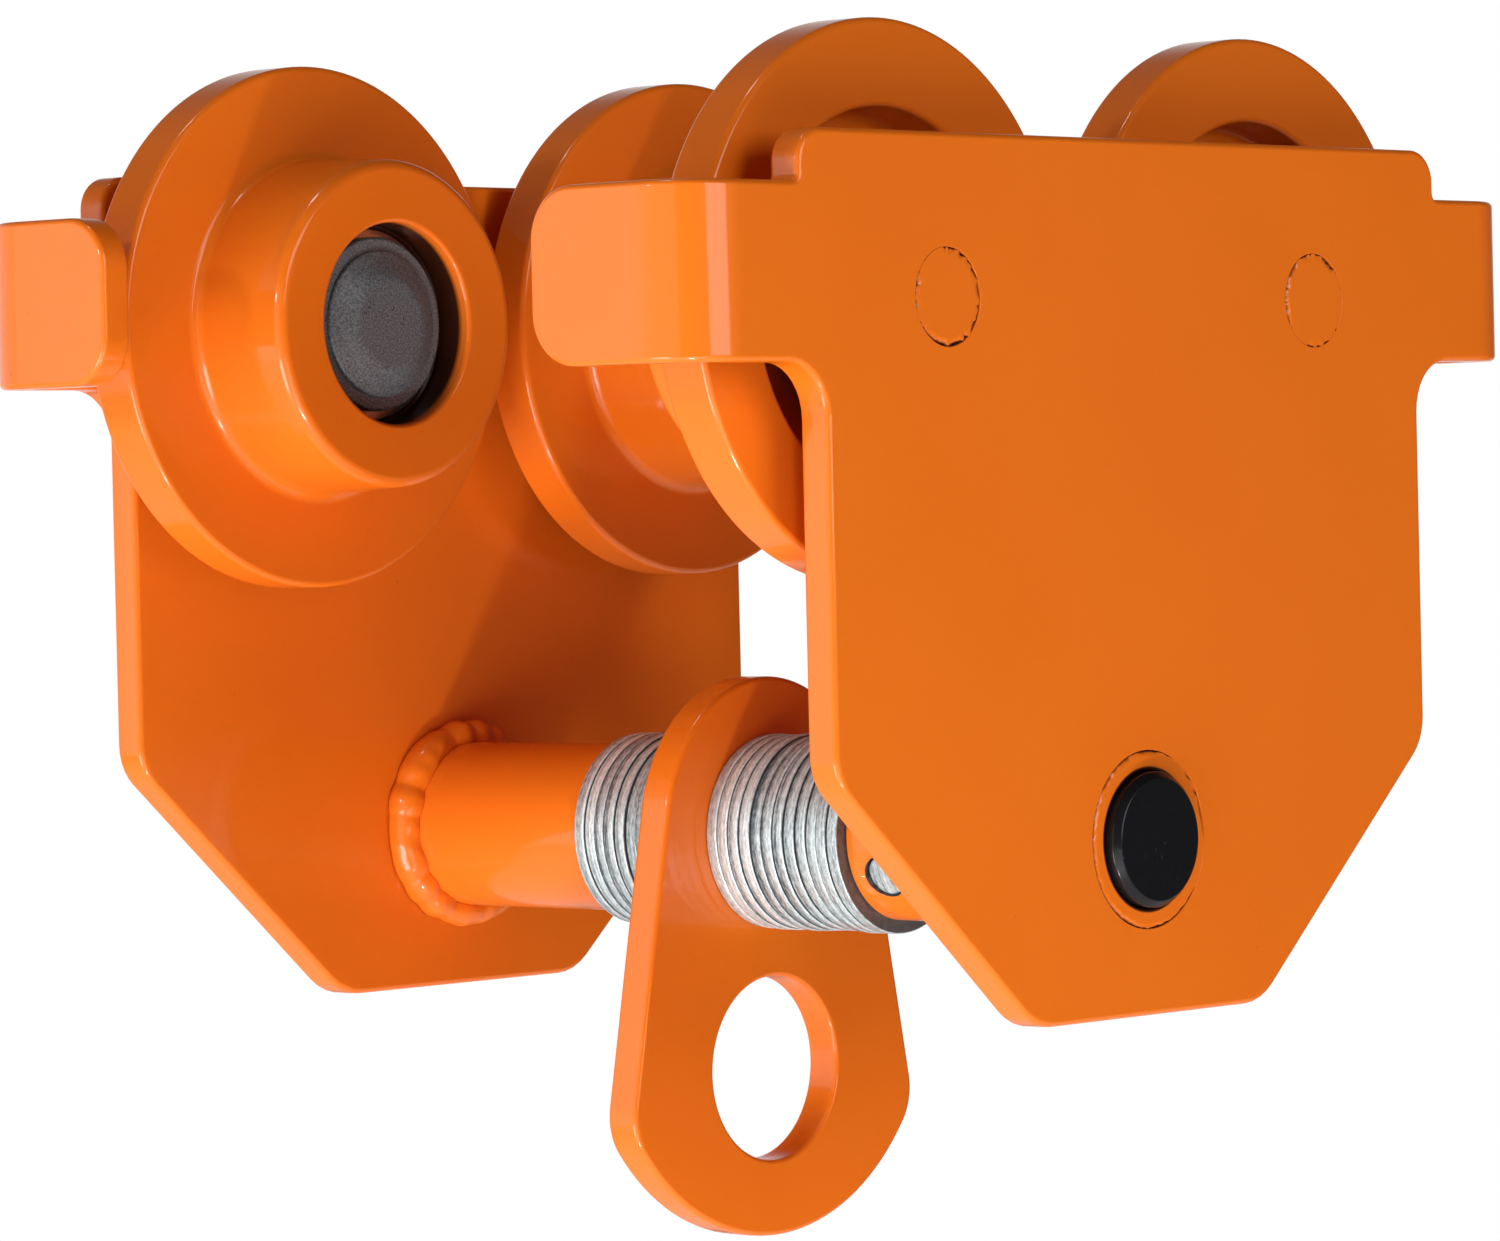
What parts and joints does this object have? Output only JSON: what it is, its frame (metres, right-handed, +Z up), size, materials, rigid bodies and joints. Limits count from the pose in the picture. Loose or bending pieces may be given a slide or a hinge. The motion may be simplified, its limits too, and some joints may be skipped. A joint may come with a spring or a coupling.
{
  "type": "beam trolley",
  "caption": "Push-travel beam trolley: flanged wheels on two side plates run on an I-beam's bottom flange, and a lug with a large eye hangs from a round load bar.",
  "frame": {"origin": "middle of the running level: the height of the wheel treads' lowest line, midway between the side plates and between the axles", "axes": "+X along the beam, the travel direction; +Y across the beam, along the axles and the load bar; +Z up, away from the load"},
  "size_m": [0.233, 0.1812, 0.2182],
  "materials": {
    "orange_paint": "glossy orange enamel over steel",
    "wheel_paint": "glossy orange enamel over cast steel",
    "black_bar": "glossy black oxide",
    "dark_forging": "dark grey blasted forging, matte",
    "galvanised": "speckled zinc coating",
    "bearing_steel": "ground bearing steel",
    "cage_steel": "pressed strip",
    "seal_rubber": "black nitrile rubber"
  },
  "bodies": {
    "frame": {"side_plate_near": "orange_paint", "side_plate_far": "orange_paint", "sleeve_near": "orange_paint", "sleeve_far": "orange_paint", "weld_near": "orange_paint", "weld_far": "orange_paint", "load_bar": "black_bar", "lock_pin_near": "galvanised", "lock_pin_far": "galvanised", "spacers_near": "galvanised", "spacers_far": "galvanised", "axle_1": "dark_forging", "head_washer_1": "dark_forging", "axle_collar_1": "galvanised", "inner_race_1": "bearing_steel", "axle_2": "dark_forging", "head_washer_2": "dark_forging", "axle_collar_2": "galvanised", "inner_race_2": "bearing_steel", "axle_3": "dark_forging", "head_washer_3": "dark_forging", "axle_collar_3": "galvanised", "inner_race_3": "bearing_steel", "axle_4": "dark_forging", "head_washer_4": "dark_forging", "axle_collar_4": "galvanised", "inner_race_4": "bearing_steel"},
    "lug": {"hanging_lug": "orange_paint"},
    "wheel_1": {"wheel_1": "wheel_paint", "outer_race_1": "bearing_steel", "seal_front_1": "seal_rubber", "seal_back_1": "seal_rubber"},
    "cage_1": {"bearing_balls_1": "bearing_steel", "ball_cage_1": "cage_steel"},
    "wheel_2": {"wheel_2": "wheel_paint", "outer_race_2": "bearing_steel", "seal_front_2": "seal_rubber", "seal_back_2": "seal_rubber"},
    "cage_2": {"bearing_balls_2": "bearing_steel", "ball_cage_2": "cage_steel"},
    "wheel_3": {"wheel_3": "wheel_paint", "outer_race_3": "bearing_steel", "seal_front_3": "seal_rubber", "seal_back_3": "seal_rubber"},
    "cage_3": {"bearing_balls_3": "bearing_steel", "ball_cage_3": "cage_steel"},
    "wheel_4": {"wheel_4": "wheel_paint", "outer_race_4": "bearing_steel", "seal_front_4": "seal_rubber", "seal_back_4": "seal_rubber"},
    "cage_4": {"bearing_balls_4": "bearing_steel", "ball_cage_4": "cage_steel"}
  },
  "joints": [
    {"name": "lug_swing", "type": "hinge", "parent": "frame", "child": "lug", "pos_m": [0, 0.0045, -0.065], "axis": [0, 1, 0], "range_deg": [-100, 100]},
    {"name": "wheel_1_spin", "type": "hinge", "parent": "frame", "child": "wheel_1", "pos_m": [-0.0515, -0.059, 0.03], "axis": [0, 1, 0], "continuous": true},
    {"name": "cage_1_spin", "type": "hinge", "parent": "frame", "child": "cage_1", "pos_m": [-0.0515, -0.059, 0.03], "axis": [0, 1, 0], "continuous": true},
    {"name": "wheel_2_spin", "type": "hinge", "parent": "frame", "child": "wheel_2", "pos_m": [0.0515, -0.059, 0.03], "axis": [0, 1, 0], "continuous": true},
    {"name": "cage_2_spin", "type": "hinge", "parent": "frame", "child": "cage_2", "pos_m": [0.0515, -0.059, 0.03], "axis": [0, 1, 0], "continuous": true},
    {"name": "wheel_3_spin", "type": "hinge", "parent": "frame", "child": "wheel_3", "pos_m": [0.0515, 0.059, 0.03], "axis": [0, 1, 0], "continuous": true},
    {"name": "cage_3_spin", "type": "hinge", "parent": "frame", "child": "cage_3", "pos_m": [0.0515, 0.059, 0.03], "axis": [0, 1, 0], "continuous": true},
    {"name": "wheel_4_spin", "type": "hinge", "parent": "frame", "child": "wheel_4", "pos_m": [-0.0515, 0.059, 0.03], "axis": [0, 1, 0], "continuous": true},
    {"name": "cage_4_spin", "type": "hinge", "parent": "frame", "child": "cage_4", "pos_m": [-0.0515, 0.059, 0.03], "axis": [0, 1, 0], "continuous": true}
  ],
  "couplings": [
    {"joint": "cage_1_spin", "follows": "wheel_1_spin", "ratio": 0.5877},
    {"joint": "cage_2_spin", "follows": "wheel_2_spin", "ratio": 0.5877},
    {"joint": "cage_3_spin", "follows": "wheel_3_spin", "ratio": 0.5877},
    {"joint": "cage_4_spin", "follows": "wheel_4_spin", "ratio": 0.5877}
  ]
}
